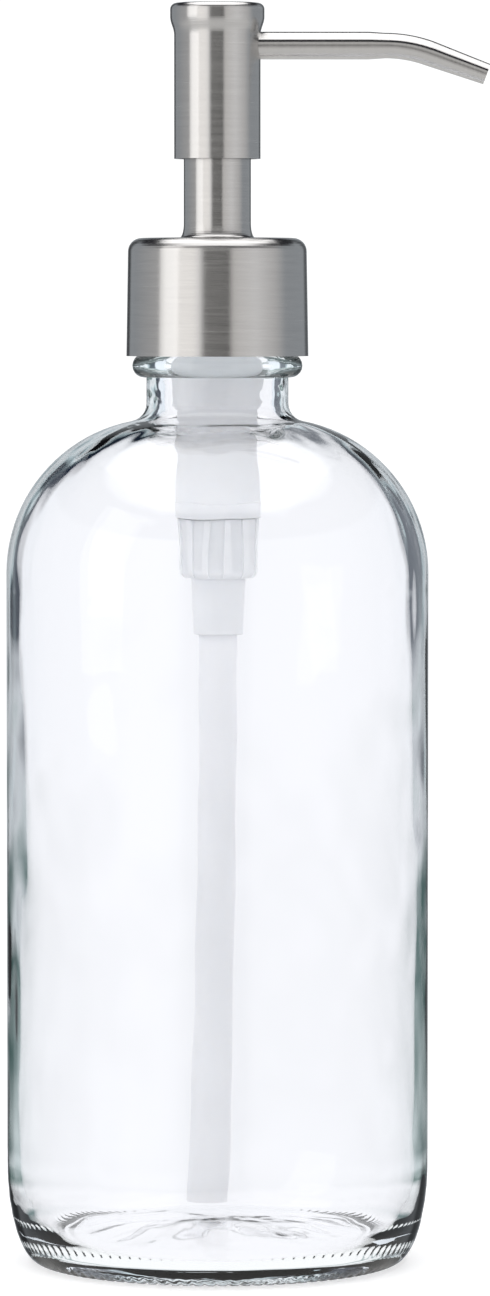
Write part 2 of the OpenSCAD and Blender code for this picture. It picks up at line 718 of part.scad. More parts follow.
module spout_liner() {
    liner_wall = 0.45;
    bend_r = spout_bend_d / 2 - spout_wall - seat_gap;
    tip_r = spout_tip_d / 2 - spout_wall - seat_gap;
    color("white") difference() {
        spout_solid(bend_r, bend_r, tip_r, spout_root_x + 0.1, 0.6);
        spout_solid(bend_r - liner_wall, bend_r - liner_wall, tip_r - liner_wall, spout_root_x - 1, -0.01);
    }
}

bottle();
collar_shell();
collar_insert();
neck_gasket();
pump_barrel();
guide_bush();
stem_seal();
lower_sleeve();
valve_cup();
valve_cage();
inlet_ball();
dip_tube();
return_spring();
stem();
piston_rod();
piston();
head_core();
head_shell();
spout_tube();
spout_liner();
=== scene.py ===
"""A soap dispenser: a clear glass bottle with a screw-on brushed steel lotion pump."""
import math

import bmesh
import bpy
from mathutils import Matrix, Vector


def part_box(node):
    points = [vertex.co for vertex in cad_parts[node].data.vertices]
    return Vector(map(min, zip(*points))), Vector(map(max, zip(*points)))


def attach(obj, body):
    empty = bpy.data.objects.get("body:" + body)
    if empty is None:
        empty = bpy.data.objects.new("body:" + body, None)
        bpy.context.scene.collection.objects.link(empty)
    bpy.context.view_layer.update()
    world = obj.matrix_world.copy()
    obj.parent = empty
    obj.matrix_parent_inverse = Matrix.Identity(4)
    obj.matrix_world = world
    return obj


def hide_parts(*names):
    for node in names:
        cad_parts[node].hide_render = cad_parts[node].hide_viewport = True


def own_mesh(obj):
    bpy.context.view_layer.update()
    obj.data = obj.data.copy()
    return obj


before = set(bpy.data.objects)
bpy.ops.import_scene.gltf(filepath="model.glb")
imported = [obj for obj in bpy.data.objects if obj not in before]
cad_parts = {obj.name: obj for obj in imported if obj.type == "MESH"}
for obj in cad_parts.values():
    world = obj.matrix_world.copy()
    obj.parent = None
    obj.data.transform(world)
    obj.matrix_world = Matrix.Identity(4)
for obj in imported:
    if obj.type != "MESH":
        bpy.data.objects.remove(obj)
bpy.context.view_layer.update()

MM = 0.001
scene = bpy.context.scene


# ---------------------------------------------------------------- sizes, in millimetres
def top_mm(node):
    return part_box(node)[1][2] / MM


def foot_mm(node):
    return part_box(node)[0][2] / MM


def radius_mm(node):
    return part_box(node)[1][1] / MM


BOTTLE_R = radius_mm("bottle")
LIP_Z = top_mm("bottle")
GLASS_WALL = 2.4
FOOT_R = 31.6
FOOT_RING_W = 2.4
HEEL_H = 17.8
PUNT_H = 4.4
BASE_T = 3.4
FOOT_T = 3.4
SHOULDER_R = 27.5
NECK_R = 12.6
NECK_BORE_R = 9.5
FINISH_H = 10.1
BEAD_R = 15.1
BEAD_H = 4.2
NECK_LEN = 4.6
NECK_FILLET_R = 3.2
INNER_FILLET_R = 6.0
LIP_ROUND = 0.8
THREAD_R = 13.75
THREAD_PITCH = 4.233
THREAD_TURNS = 1.25
THREAD_START = 3.2
THREAD_RIDGE_R = 1.0
DASH_BAND_R = 32.4
DASH_BAND_HALF = 1.6
SPRING_WIRE_R = 0.4
SPRING_MEAN_R = 3.3
SPRING_TURNS = 9.0
SIDES = 384

# Lay of the glass's uneven surface, and of the plastic's pores
NECK_CURL_SCALE = 330.0
RIPPLE_SCALE = 80.0
FILM_SCALE = 90.0
PORE_SCALE = 4000.0


# ---------------------------------------------------------------- outlines
def arc(x, y, r, a, b, steps):
    """Points along an arc about (x, y), from angle a to angle b in degrees."""
    turn = [math.radians(a + (b - a) * i / steps) for i in range(steps + 1)]
    return [(x + r * math.cos(t), y + r * math.sin(t)) for t in turn]


def dome(r, z, h, steps):
    """Points along a shallow dome from the axis out to radius r."""
    ball = (r * r + h * h) / (2 * h)
    half = math.asin(r / ball)
    turn = [half * i / steps for i in range(steps + 1)]
    return [(ball * math.sin(t), z + h - ball + ball * math.cos(t)) for t in turn]


def straight(a, b, steps):
    """Points between a and b, with both ends left out."""
    share = [i / steps for i in range(1, steps)]
    return [(a[0] + (b[0] - a[0]) * t, a[1] + (b[1] - a[1]) * t) for t in share]


def glass_outline():
    """The bottle's section: its outside from the punt up to the lip, and its inside from the lip down."""
    bead_top = LIP_Z - FINISH_H
    bead_foot = bead_top - BEAD_H
    neck_end = bead_foot - NECK_LEN
    axis_r = BOTTLE_R - SHOULDER_R

    def meeting_drop(arc_r, fillet_r, fillet_axis_r):
        return math.sqrt((arc_r + fillet_r) ** 2 - (fillet_axis_r - axis_r) ** 2)

    shoulder_z = neck_end - meeting_drop(SHOULDER_R, NECK_FILLET_R, NECK_R + NECK_FILLET_R)
    inner_shoulder_r = SHOULDER_R - GLASS_WALL
    fillet_z = shoulder_z + meeting_drop(inner_shoulder_r, INNER_FILLET_R, NECK_BORE_R + INNER_FILLET_R)
    outer_a = math.degrees(math.atan2(neck_end - shoulder_z, NECK_R + NECK_FILLET_R - axis_r))
    inner_a = math.degrees(math.atan2(fillet_z - shoulder_z, NECK_BORE_R + INNER_FILLET_R - axis_r))
    inner_r = BOTTLE_R - GLASS_WALL
    floor_r = FOOT_R - FOOT_RING_W - 1

    ring_in = FOOT_R - FOOT_RING_W
    outside = dome(ring_in, 0, PUNT_H, 10)[:-1]
    outside += [(ring_in, 0.0), (ring_in + FOOT_RING_W / 2, 0.0)]
    heel = [math.radians(90 * i / 26) for i in range(27)]
    outside += [(FOOT_R + (BOTTLE_R - FOOT_R) * math.sin(t), HEEL_H * (1 - math.cos(t))) for t in heel]
    outside += straight((BOTTLE_R, HEEL_H), (BOTTLE_R, shoulder_z), 18)
    outside += arc(axis_r, shoulder_z, SHOULDER_R, 0, outer_a, 22)
    outside += arc(NECK_R + NECK_FILLET_R, neck_end, NECK_FILLET_R, 180 + outer_a, 180, 6)[1:]
    outside += [(NECK_R, bead_foot)]
    outside += arc(BEAD_R - BEAD_H / 2, bead_foot + BEAD_H / 2, BEAD_H / 2, -90, 90, 10)
    outside += [(NECK_R, bead_top)]
    outside += arc(NECK_R - LIP_ROUND, LIP_Z - LIP_ROUND, LIP_ROUND, 0, 90, 4)

    inside = arc(NECK_BORE_R + LIP_ROUND, LIP_Z - LIP_ROUND, LIP_ROUND, 90, 180, 4)
    inside += straight((NECK_BORE_R, LIP_Z - LIP_ROUND), (NECK_BORE_R, fillet_z), 4)
    inside += arc(NECK_BORE_R + INNER_FILLET_R, fillet_z, INNER_FILLET_R, 180, 180 + inner_a, 8)
    inside += arc(axis_r, shoulder_z, inner_shoulder_r, inner_a, 0, 20)[1:]
    inside += straight((inner_r, shoulder_z), (inner_r, HEEL_H), 36)
    heel = [math.radians(90 * i / 14) for i in range(14, -1, -1)]
    inside += [(floor_r + (inner_r - floor_r) * math.sin(t), FOOT_T + (HEEL_H - FOOT_T) * (1 - math.cos(t)))
               for t in heel]
    inside += dome(floor_r - 1, FOOT_T, PUNT_H + BASE_T - FOOT_T, 12)[::-1]
    return outside, inside


# ---------------------------------------------------------------- meshes
def turned(name, outline, sides):
    """Turns a closed outline, which starts and ends on the axis, into a solid about Z."""
    body = bmesh.new()
    rows = []
    for r, z in outline:
        if r < 1e-6:
            rows.append([body.verts.new((0, 0, z * MM))])
        else:
            turn = [2 * math.pi * j / sides for j in range(sides)]
            rows.append([body.verts.new((r * MM * math.cos(t), r * MM * math.sin(t), z * MM)) for t in turn])
    for low, high in zip(rows, rows[1:]):
        for j in range(sides):
            k = (j + 1) % sides
            corners = [low[j % len(low)], low[k % len(low)], high[k % len(high)], high[j % len(high)]]
            unique = list(dict.fromkeys(corners))
            if len(unique) > 2:
                body.faces.new(unique)
    bmesh.ops.recalc_face_normals(body, faces=body.faces)
    mesh = bpy.data.meshes.new(name)
    body.to_mesh(mesh)
    body.free()
    return new_piece(name, mesh)


def new_piece(name, mesh):
    piece = bpy.data.objects.new(name, mesh)
    scene.collection.objects.link(piece)
    return piece


def smooth(piece, angle=35):
    piece.data.shade_smooth()
    piece.data.set_sharp_from_angle(angle=math.radians(angle))


def weight(piece, name, rule, first_inside):
    """Stores rule(radius and height in mm, whether inside) on each point, as a number that the tree reads."""
    layer = piece.data.attributes.new(name, "FLOAT", "POINT")
    shares = [rule(math.hypot(v.co.x, v.co.y) / MM, v.co.z / MM, v.index >= first_inside)
              for v in piece.data.vertices]
    layer.data.foreach_set("value", shares)


# ---------------------------------------------------------------- geometry node trees
class Tree:
    """A small helper that adds nodes to a tree and links their sockets."""

    def __init__(self, tree):
        self.tree = tree

    def add(self, kind, settings=None, **inputs):
        node = self.tree.nodes.new(kind)
        for key, value in (settings or {}).items():
            setattr(node, key, value)
        for key, value in inputs.items():
            self.put(node, key, value)
        return node

    def put(self, node, key, value):
        socket = node.inputs[int(key[1:])] if key[0] == "i" and key[1:].isdigit() else node.inputs[key]
        if isinstance(value, bpy.types.NodeSocket):
            self.tree.links.new(value, socket)
        else:
            socket.default_value = value

    def math(self, operation, a, b=0.0):
        return self.add("ShaderNodeMath", {"operation": operation}, i0=a, i1=b).outputs[0]

    def vector(self, operation, a, b=(0, 0, 0)):
        return self.add("ShaderNodeVectorMath", {"operation": operation}, i0=a, i1=b).outputs[0]

    def share(self, value, start, full):
        """0 at start, 1 from full on, and straight between them."""
        return self.add("ShaderNodeMapRange", i0=value, i1=start, i2=full).outputs[0]

    def between(self, share, low, high):
        """Goes from low to high as the share goes from 0 to 1."""
        return self.add("ShaderNodeMapRange", i0=share, i3=low, i4=high).outputs[0]

    def mix(self, share, a, b):
        """Goes from colour a to colour b as the share goes from 0 to 1."""
        return self.add("ShaderNodeMix", {"data_type": "RGBA"}, i0=share, i6=a, i7=b).outputs[2]

    def away(self, value, middle):
        """How far the value is from the middle, on either side."""
        return self.math("ABSOLUTE", self.math("SUBTRACT", value, middle))

    def noise(self, place, scale, detail, **more):
        return self.add("ShaderNodeTexNoise", Vector=place, Scale=scale, Detail=detail, **more).outputs[0]

    def tones(self, value, marks):
        """Colours along a value from 0 to 1, given as (value, colour) marks."""
        node = self.add("ShaderNodeValToRGB", Fac=value)
        stops = node.color_ramp.elements
        while len(stops) < len(marks):
            stops.new(0.5)
        for stop, (at, colour) in zip(stops, marks):
            stop.position = at
            stop.color = tuple(colour) + (1,)
        return node.outputs[0]


def shaping_tree(name, inputs):
    """A new Geometry Nodes tree with a geometry input and output, and the named number inputs."""
    tree = bpy.data.node_groups.new(name, "GeometryNodeTree")
    tree.interface.new_socket("Geometry", in_out="INPUT", socket_type="NodeSocketGeometry")
    for label, kind, value in inputs:
        socket = tree.interface.new_socket(label, in_out="INPUT", socket_type=kind)
        socket.default_value = value
    tree.interface.new_socket("Geometry", in_out="OUTPUT", socket_type="NodeSocketGeometry")
    helper = Tree(tree)
    return tree, helper, helper.add("NodeGroupInput").outputs, helper.add("NodeGroupOutput")


def finish_tree(helper, geometry, material, out):
    real = helper.add("GeometryNodeRealizeInstances", i0=geometry)
    painted = helper.add("GeometryNodeSetMaterial", Material=material, i0=real.outputs[0])
    helper.put(out, "Geometry", painted.outputs[0])


def shaped(piece, tree, **values):
    """Runs a tree on a piece with the given inputs, and keeps the result as a plain mesh."""
    modifier = piece.modifiers.new(tree.name, "NODES")
    modifier.node_group = tree
    for item in tree.interface.items_tree:
        key = item.name.replace(" ", "_").lower()
        if item.in_out == "INPUT" and key in values:
            modifier[item.identifier] = values[key]
    bpy.context.view_layer.update()
    seen = piece.evaluated_get(bpy.context.evaluated_depsgraph_get())
    mesh = bpy.data.meshes.new_from_object(seen)
    piece.modifiers.remove(modifier)
    old = piece.data
    piece.data = mesh
    bpy.data.meshes.remove(old)
    return piece


def blown_glass_tree(material):
    """Gives the wall its slow waves, the heel its fine rings and the floor its dents, and presses the dashes.
    Each is laid only where the piece's attribute of that name says."""
    tree, t, given, out = shaping_tree("blown_glass", [
        ("Wave height", "NodeSocketFloat", 0.0002), ("Wave size", "NodeSocketVector", (40.0, 40.0, 20.0)),
        ("Ring height", "NodeSocketFloat", 0.0001), ("Ring size", "NodeSocketVector", (20.0, 20.0, 300.0)),
        ("Dent height", "NodeSocketFloat", 0.0002), ("Dent size", "NodeSocketVector", (90.0, 90.0, 20.0)),
        ("Seed", "NodeSocketFloat", 1.0), ("Dash count", "NodeSocketFloat", 96.0),
        ("Dash depth", "NodeSocketFloat", 0.0003)])
    place = t.add("GeometryNodeInputPosition").outputs[0]
    outward = t.add("GeometryNodeInputNormal").outputs[0]

    def share(name):
        return t.add("GeometryNodeInputNamedAttribute", {"data_type": "FLOAT"}, Name=name).outputs[0]

    def swing(name, height, size):
        laid = t.vector("MULTIPLY", place, given[size])
        uneven = t.add("ShaderNodeTexNoise", {"noise_dimensions": "4D"}, Vector=laid, W=given["Seed"],
                       Scale=1.0, Detail=2.5, Roughness=0.5).outputs[0]
        both_ways = t.math("MULTIPLY", given[height], 2.0)
        return t.math("MULTIPLY", t.math("MULTIPLY", t.math("SUBTRACT", uneven, 0.5), both_ways), share(name))

    both = t.math("ADD", swing("wave", "Wave height", "Wave size"), swing("ring", "Ring height", "Ring size"))
    every = t.math("ADD", both, swing("dent", "Dent height", "Dent size"))

    xyz = t.add("ShaderNodeSeparateXYZ", i0=place).outputs
    angle = t.math("ARCTAN2", xyz[1], xyz[0])
    beat = t.math("COSINE", t.math("MULTIPLY", angle, given["Dash count"]))
    depth = t.math("MULTIPLY", t.math("MAXIMUM", beat, 0.0), given["Dash depth"])
    press = t.math("MULTIPLY", depth, share("dash"))

    offset = t.add("ShaderNodeVectorMath", {"operation": "SCALE"}, i0=outward, Scale=every).outputs[0]
    lift = t.add("ShaderNodeCombineXYZ", i2=press).outputs[0]
    moved = t.add("GeometryNodeSetPosition", i0=given["Geometry"], Offset=t.vector("ADD", offset, lift))
    finish_tree(t, moved.outputs[0], material, out)
    return tree


def coil_tree(material):
    """A wire or ridge wound about Z: the path climbs from Foot over Turns."""
    tree, t, given, out = shaping_tree("coil", [
        ("Coil radius", "NodeSocketFloat", 0.0033), ("Wire radius", "NodeSocketFloat", 0.0004),
        ("Foot", "NodeSocketFloat", 0.0), ("Height", "NodeSocketFloat", 0.02),
        ("Turns", "NodeSocketFloat", 9.0), ("Steps", "NodeSocketInt", 48), ("Sides", "NodeSocketInt", 12)])
    line = t.add("GeometryNodeCurveSpiral", Resolution=given["Steps"], Rotations=given["Turns"],
                 **{"Start Radius": given["Coil radius"], "End Radius": given["Coil radius"],
                    "Height": given["Height"]})
    rise = t.add("ShaderNodeCombineXYZ", i2=given["Foot"]).outputs[0]
    path = t.add("GeometryNodeSetPosition", i0=line.outputs[0], Offset=rise)
    wire = t.add("GeometryNodeCurvePrimitiveCircle", Resolution=given["Sides"], Radius=given["Wire radius"])
    tube = t.add("GeometryNodeCurveToMesh", i0=path.outputs[0], i1=wire.outputs[0])
    tube.inputs["Fill Caps"].default_value = True
    finish_tree(t, tube.outputs[0], material, out)
    return tree


# ---------------------------------------------------------------- shader groups
def shader_group(name, inputs, outputs):
    tree = bpy.data.node_groups.new(name, "ShaderNodeTree")
    for label, kind, value in inputs:
        socket = tree.interface.new_socket(label, in_out="INPUT", socket_type=kind)
        socket.default_value = value
    for label, kind in outputs:
        tree.interface.new_socket(label, in_out="OUTPUT", socket_type=kind)
    helper = Tree(tree)
    return tree, helper, helper.add("NodeGroupInput").outputs, helper.add("NodeGroupOutput")


def brushing_group():
    """Fine parallel scratches. A small number of Along draws them out on that axis, and Round lays them in
    rings on flat tops."""
    tree, t, given, out = shader_group("brushing", [
        ("Along", "NodeSocketVector", (60.0, 60.0, 9000.0)), ("Round", "NodeSocketFloat", 0.0),
        ("Light", "NodeSocketColor", (0.7, 0.7, 0.7, 1)), ("Dark", "NodeSocketColor", (0.5, 0.5, 0.5, 1)),
        ("Gloss", "NodeSocketFloat", 0.22), ("Matt", "NodeSocketFloat", 0.4)],
        [("Color", "NodeSocketColor"), ("Roughness", "NodeSocketFloat"), ("Height", "NodeSocketFloat")])
    place = t.add("ShaderNodeTexCoord").outputs["Object"]
    xyz = t.add("ShaderNodeSeparateXYZ", i0=place).outputs
    squares = [t.math("MULTIPLY", xyz[side], xyz[side]) for side in (0, 1)]
    radius = t.math("SQRT", t.math("ADD", *squares))
    height = t.math("ADD", xyz[2], t.math("MULTIPLY", radius, given["Round"]))
    laid = t.add("ShaderNodeCombineXYZ", i0=xyz[0], i1=xyz[1], i2=height).outputs[0]
    stretched = t.vector("MULTIPLY", laid, given["Along"])
    fine = t.noise(stretched, 1.0, 3.0, Roughness=0.65)
    broad = t.noise(t.vector("MULTIPLY", stretched, (0.5, 0.5, 0.12)), 1.0, 2.0)
    both = t.math("ADD", t.math("MULTIPLY", fine, 0.65), t.math("MULTIPLY", broad, 0.35))
    spread = t.share(both, 0.3, 0.7)
    t.put(out, "Color", t.mix(spread, given["Dark"], given["Light"]))
    t.put(out, "Roughness", t.between(spread, given["Gloss"], given["Matt"]))
    t.put(out, "Height", spread)
    return tree


def moulding_group():
    """Slight cloudiness and flow of a moulded plastic."""
    tree, t, given, out = shader_group("moulding", [
        ("Scale", "NodeSocketFloat", 120.0), ("Clear", "NodeSocketColor", (0.9, 0.9, 0.9, 1)),
        ("Cloudy", "NodeSocketColor", (0.8, 0.8, 0.8, 1)), ("Gloss", "NodeSocketFloat", 0.3),
        ("Matt", "NodeSocketFloat", 0.45)],
        [("Color", "NodeSocketColor"), ("Roughness", "NodeSocketFloat"), ("Height", "NodeSocketFloat")])
    place = t.add("ShaderNodeTexCoord").outputs["Object"]
    cloud = t.noise(place, given["Scale"], 4.0, Roughness=0.55)
    pores = t.noise(place, PORE_SCALE, 2.0)
    spread = t.share(cloud, 0.3, 0.7)
    t.put(out, "Color", t.mix(spread, given["Clear"], given["Cloudy"]))
    t.put(out, "Roughness", t.between(spread, given["Gloss"], given["Matt"]))
    t.put(out, "Height", t.math("ADD", t.math("MULTIPLY", cloud, 0.7), t.math("MULTIPLY", pores, 0.3)))
    return tree


def new_material(name):
    material = bpy.data.materials.new(name)
    material.use_nodes = True
    helper = Tree(material.node_tree)
    shader = material.node_tree.nodes["Principled BSDF"]
    return material, helper, shader


def from_group(helper, shader, group, bump, **values):
    """Places a group in a material and wires its colour, roughness and bump to the shader."""
    node = helper.add("ShaderNodeGroup")
    node.node_tree = group
    for key, value in values.items():
        helper.put(node, key, value)
    helper.put(shader, "Base Color", node.outputs["Color"])
    helper.put(shader, "Roughness", node.outputs["Roughness"])
    relief = helper.add("ShaderNodeBump", Height=node.outputs["Height"], Strength=1.0, Distance=bump)
    helper.put(shader, "Normal", relief.outputs[0])
    return node


BRUSHING = brushing_group()
MOULDING = moulding_group()
STEEL_LIGHT = (0.62, 0.61, 0.6, 1)
POLISH_BUMP = 0.000002
MOULDED_BUMP = 0.00002


def brushed_steel(name, along, axis, round_lay, dark, gloss, matt, bump, drawn):
    """Steel brushed across the given axis, which draws its highlights out along that axis."""
    material, t, shader = new_material(name)
    from_group(t, shader, BRUSHING, bump, Along=along, Round=round_lay, Light=STEEL_LIGHT, Dark=dark,
               Gloss=gloss, Matt=matt)
    shader.inputs["Metallic"].default_value = 1.0
    shader.inputs["Anisotropic"].default_value = drawn
    if axis == "Z":
        shader.inputs["Anisotropic Rotation"].default_value = 0.25
        lay = t.add("ShaderNodeTangent", {"direction_type": "RADIAL", "axis": "Z"})
    else:
        lay = t.add("ShaderNodeCombineXYZ", i0=1.0)
    t.put(shader, "Tangent", lay.outputs[0])
    return material


def polished_steel():
    material, t, shader = new_material("polished_steel_bright")
    from_group(t, shader, BRUSHING, POLISH_BUMP, Along=(900.0, 900.0, 900.0), Light=(0.72, 0.72, 0.72, 1),
               Dark=(0.6, 0.6, 0.61, 1), Gloss=0.1, Matt=0.2)
    shader.inputs["Metallic"].default_value = 1.0
    return material


def moulded(name, clear, cloudy, gloss, matt, scale=120.0, scatter=0.0):
    material, t, shader = new_material(name)
    from_group(t, shader, MOULDING, MOULDED_BUMP, Scale=scale, Clear=clear + (1,), Cloudy=cloudy + (1,),
               Gloss=gloss, Matt=matt)
    shader.inputs["Subsurface Weight"].default_value = scatter
    shader.inputs["Subsurface Radius"].default_value = (1.0, 0.95, 0.9)
    shader.inputs["Subsurface Scale"].default_value = 0.002
    shader.inputs["IOR"].default_value = 1.49
    return material


def clear_glass():
    """Clear glass with a faint film and an uneven surface. Where it is seen edge on, its colour darkens to
    blue-grey. This is painted shade for the dark lines that the thick edges bend into view, and partly the
    real tint of the longer path through the glass. A faint teal glow is painted on the bead.
    """
    material, t, shader = new_material("clear_glass_wall")
    shader.inputs["Transmission Weight"].default_value = 1.0
    shader.inputs["IOR"].default_value = 1.5
    # Painted shade: seen edge on, the glass darkens to blue-grey. It stands in for the dark edge lines, and
    # is partly the real tint of the thicker glass.
    painted_edge_shade = t.math("POWER", t.add("ShaderNodeLayerWeight", Blend=0.35).outputs["Facing"], 9.0)
    t.put(shader, "Base Color", t.mix(painted_edge_shade, (0.978, 0.981, 0.99, 1), (0.5, 0.6, 0.66, 1)))
    place = t.add("ShaderNodeTexCoord").outputs["Object"]
    height = t.add("ShaderNodeSeparateXYZ", i0=place).outputs[2]

    # Painted glow: the band of thick glass at the bead emits a faint teal light. It stands in for light that
    # the thick glass gathers.
    bead_z = (LIP_Z - FINISH_H - BEAD_H / 2) * MM
    painted_glow_band = t.share(t.away(height, bead_z), BEAD_H * 0.62 * MM, BEAD_H * 0.5 * MM)
    t.put(shader, "Emission Color", t.mix(painted_glow_band, (0, 0, 0, 1), (0.025, 0.031, 0.032, 1)))
    shader.inputs["Emission Strength"].default_value = 1.0

    # Slow ripples all over, drawn out upwards, and close curls in the neck
    t.put(shader, "Roughness", t.between(t.noise(place, FILM_SCALE, 3.0), 0.0, 0.02))
    ripple = t.noise(t.vector("MULTIPLY", place, (1.0, 1.0, 0.4)), RIPPLE_SCALE, 1.0)
    neck_z = (LIP_Z - FINISH_H - BEAD_H - NECK_LEN / 2) * MM
    neck = t.share(t.away(height, neck_z), 5.5 * MM, 3 * MM)
    curls = t.math("MULTIPLY", t.noise(place, NECK_CURL_SCALE, 1.0), t.math("MULTIPLY", neck, 0.9))
    relief = t.add("ShaderNodeBump", Height=t.math("ADD", ripple, curls), Strength=1.0, Distance=0.0002)
    t.put(shader, "Normal", relief.outputs[0])
    return material


# ---------------------------------------------------------------- pieces
def ramp(value, start, full):
    """0 at start, 1 from full on, and straight between them."""
    return min(1.0, max(0.0, (value - start) / (full - start)))


def glass_bottle(material):
    outside, inside = glass_outline()
    piece = turned("glass_bottle", outside + inside, SIDES)
    floor_r = FOOT_R - FOOT_RING_W - 1

    def wave_rule(r, z, inside):
        """The inside wall between heel and lip, and more in the shoulder and the neck."""
        body = ramp(z, HEEL_H * 0.5, HEEL_H * 1.3) * ramp(z, LIP_Z - 1, LIP_Z - 12)
        return body * (1.0 + 0.6 * ramp(z, LIP_Z - 65, LIP_Z - 45)) if inside else 0.0

    def ring_rule(r, z, inside):
        return 0.0 if inside or r < FOOT_R else ramp(z, 0.6, 2.0) * ramp(z, HEEL_H, HEEL_H * 0.6)

    def dent_rule(r, z, inside):
        return ramp(r, floor_r, floor_r - 4) if inside and z < HEEL_H else 0.0

    def dash_rule(r, z, inside):
        """A narrow band just outside the foot ring."""
        from_band = abs(r - DASH_BAND_R) / DASH_BAND_HALF
        return 0.0 if inside or r < FOOT_R - 1 or z > 2.2 else max(0.0, 1 - from_band)

    # The first point is on the axis, and each further point of the outside makes a whole ring of them
    first_inside = 1 + (len(outside) - 1) * SIDES
    for name, rule in (("wave", wave_rule), ("ring", ring_rule), ("dent", dent_rule), ("dash", dash_rule)):
        weight(piece, name, rule, first_inside)
    shaped(piece, blown_glass_tree(material), wave_height=0.3 * MM, wave_size=(55.0, 55.0, 24.0),
           ring_height=0.14 * MM, ring_size=(22.0, 22.0, 420.0), dent_height=0.35 * MM,
           dent_size=(95.0, 95.0, 20.0), seed=3.0, dash_count=96.0, dash_depth=0.45 * MM)
    smooth(piece, 50)
    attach(piece, "bottle")
    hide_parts("bottle")
    return piece


def glass_thread(material):
    """The screw thread on the finish, seen when the pump is lifted. Its root is sunk in the glass."""
    piece = new_piece("glass_thread", bpy.data.meshes.new("glass_thread"))
    shaped(piece, coil_tree(material), coil_radius=(THREAD_R - THREAD_RIDGE_R) * MM,
           wire_radius=THREAD_RIDGE_R * MM, foot=(LIP_Z - FINISH_H + THREAD_START) * MM,
           height=THREAD_PITCH * THREAD_TURNS * MM, turns=THREAD_TURNS, steps=96, sides=16)
    smooth(piece, 60)
    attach(piece, "bottle")
    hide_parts("bottle")
    return piece


def spring(material):
    """The return spring, wound from the foot of the CAD spring to its top and attached to the pump."""
    low, high = foot_mm("return_spring"), top_mm("return_spring")
    piece = new_piece("spring_wire", bpy.data.meshes.new("spring_wire"))
    shaped(piece, coil_tree(material), coil_radius=SPRING_MEAN_R * MM, wire_radius=SPRING_WIRE_R * MM,
           foot=(low + SPRING_WIRE_R) * MM, height=(high - low - 2 * SPRING_WIRE_R) * MM, turns=SPRING_TURNS,
           steps=36, sides=10)
    smooth(piece, 60)
    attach(piece, "pump")
    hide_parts("return_spring")
    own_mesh(piece)
    return piece


def dress(material, *nodes):
    """Gives the material to the CAD pieces of those nodes."""
    for node in nodes:
        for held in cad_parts[node].material_slots:
            held.material = material


def object_parts():
    round_steel = brushed_steel("brushed_steel_round", (150.0, 150.0, 11000.0), "Z", 1.0,
                                (0.53, 0.52, 0.515, 1), 0.17, 0.28, 0.000003, 0.8)
    spout_steel = brushed_steel("brushed_steel_spout", (7000.0, 400.0, 400.0), "X", 0.0,
                                (0.56, 0.55, 0.54, 1), 0.2, 0.25, 0.0000008, 1.0)
    bright = polished_steel()
    milky = moulded("milky_plastic_barrel", (0.87, 0.88, 0.9), (0.83, 0.845, 0.87), 0.3, 0.42, scatter=0.5)
    tube = moulded("tube_plastic_soft", (0.96, 0.965, 1.0), (0.91, 0.92, 0.96), 0.3, 0.4, 60.0, scatter=0.5)
    white = moulded("white_plastic_moulded", (0.88, 0.88, 0.87), (0.82, 0.82, 0.81), 0.35, 0.5)
    ivory = moulded("piston_plastic_soft", (0.9, 0.88, 0.8), (0.84, 0.82, 0.74), 0.4, 0.5)
    foam = moulded("seal_foam_pad", (0.85, 0.85, 0.84), (0.74, 0.74, 0.73), 0.7, 0.85, 900.0)
    rubber = moulded("seal_rubber_pale", (0.75, 0.75, 0.73), (0.68, 0.68, 0.66), 0.5, 0.6)
    dress(round_steel, "collar_shell", "lower_sleeve", "head_shell")
    dress(spout_steel, "spout_tube")
    dress(bright, "inlet_ball")
    dress(milky, "pump_barrel", "valve_cup")
    dress(tube, "dip_tube", "spout_liner")
    dress(white, "collar_insert", "guide_bush", "valve_cage", "stem", "piston_rod", "head_core")
    dress(ivory, "piston")
    dress(foam, "neck_gasket")
    dress(rubber, "stem_seal")
    glass = clear_glass()
    glass_bottle(glass)
    glass_thread(glass)
    spring(bright)


# ---------------------------------------------------------------- stage
FLOOR_R = 0.16
FLOOR_SIDES = 96
FLOOR_GAP = 0.0002
LENS = 180.6
CAMERA_X, CAMERA_Z = 0.0049, 0.171
CAMERA_AWAY = 1.155
AIM_Z = 0.1095


def floor():
    """A pale disc that catches the soft shadow, and that the glass and the steel don't show."""
    mesh = bpy.data.meshes.new("floor")
    turn = [2 * math.pi * i / FLOOR_SIDES for i in range(FLOOR_SIDES)]
    rim = [(FLOOR_R * math.cos(angle), FLOOR_R * math.sin(angle), 0) for angle in turn]
    mesh.from_pydata(rim, [], [list(range(FLOOR_SIDES))])
    piece = new_piece("floor", mesh)
    piece.location.z = -FLOOR_GAP
    material, _, shader = new_material("floor_paper")
    shader.inputs["Base Color"].default_value = (0.9, 0.9, 0.9, 1)
    shader.inputs["Roughness"].default_value = 0.9
    shader.inputs["Emission Color"].default_value = (1, 1, 1, 1)
    shader.inputs["Emission Strength"].default_value = 0.35
    mesh.materials.append(material)
    piece.visible_transmission = False
    piece.visible_glossy = False


def softbox(name, place, aim, size, power, tint=(1, 1, 1)):
    lamp = bpy.data.lights.new(name, "AREA")
    lamp.shape = "RECTANGLE"
    lamp.size, lamp.size_y = size
    lamp.energy = power
    lamp.color = tint
    holder = bpy.data.objects.new(name, lamp)
    holder.location = place
    holder.rotation_euler = (Vector(aim) - Vector(place)).to_track_quat("-Z", "Y").to_euler()
    holder.visible_camera = False
    scene.collection.objects.link(holder)


# Tones around the object, by the angle from straight ahead of it, in degrees: to the left below 0
AROUND = [(-180, 0.4), (-172, 0.3), (-163, 0.06), (-152, 0.06), (-146, 0.34), (-130, 0.34), (-78, 0.5),
          (-70, 0.9), (-58, 0.94), (-46, 1.26), (-30, 1.24), (-22, 1.0), (-16, 0.14), (8, 0.11), (12, 0.05),
          (15, 0.05), (19, 0.72), (50, 0.84), (80, 0.6), (98, 0.36), (146, 0.34), (152, 0.1), (163, 0.1),
          (172, 0.3), (180, 0.4)]

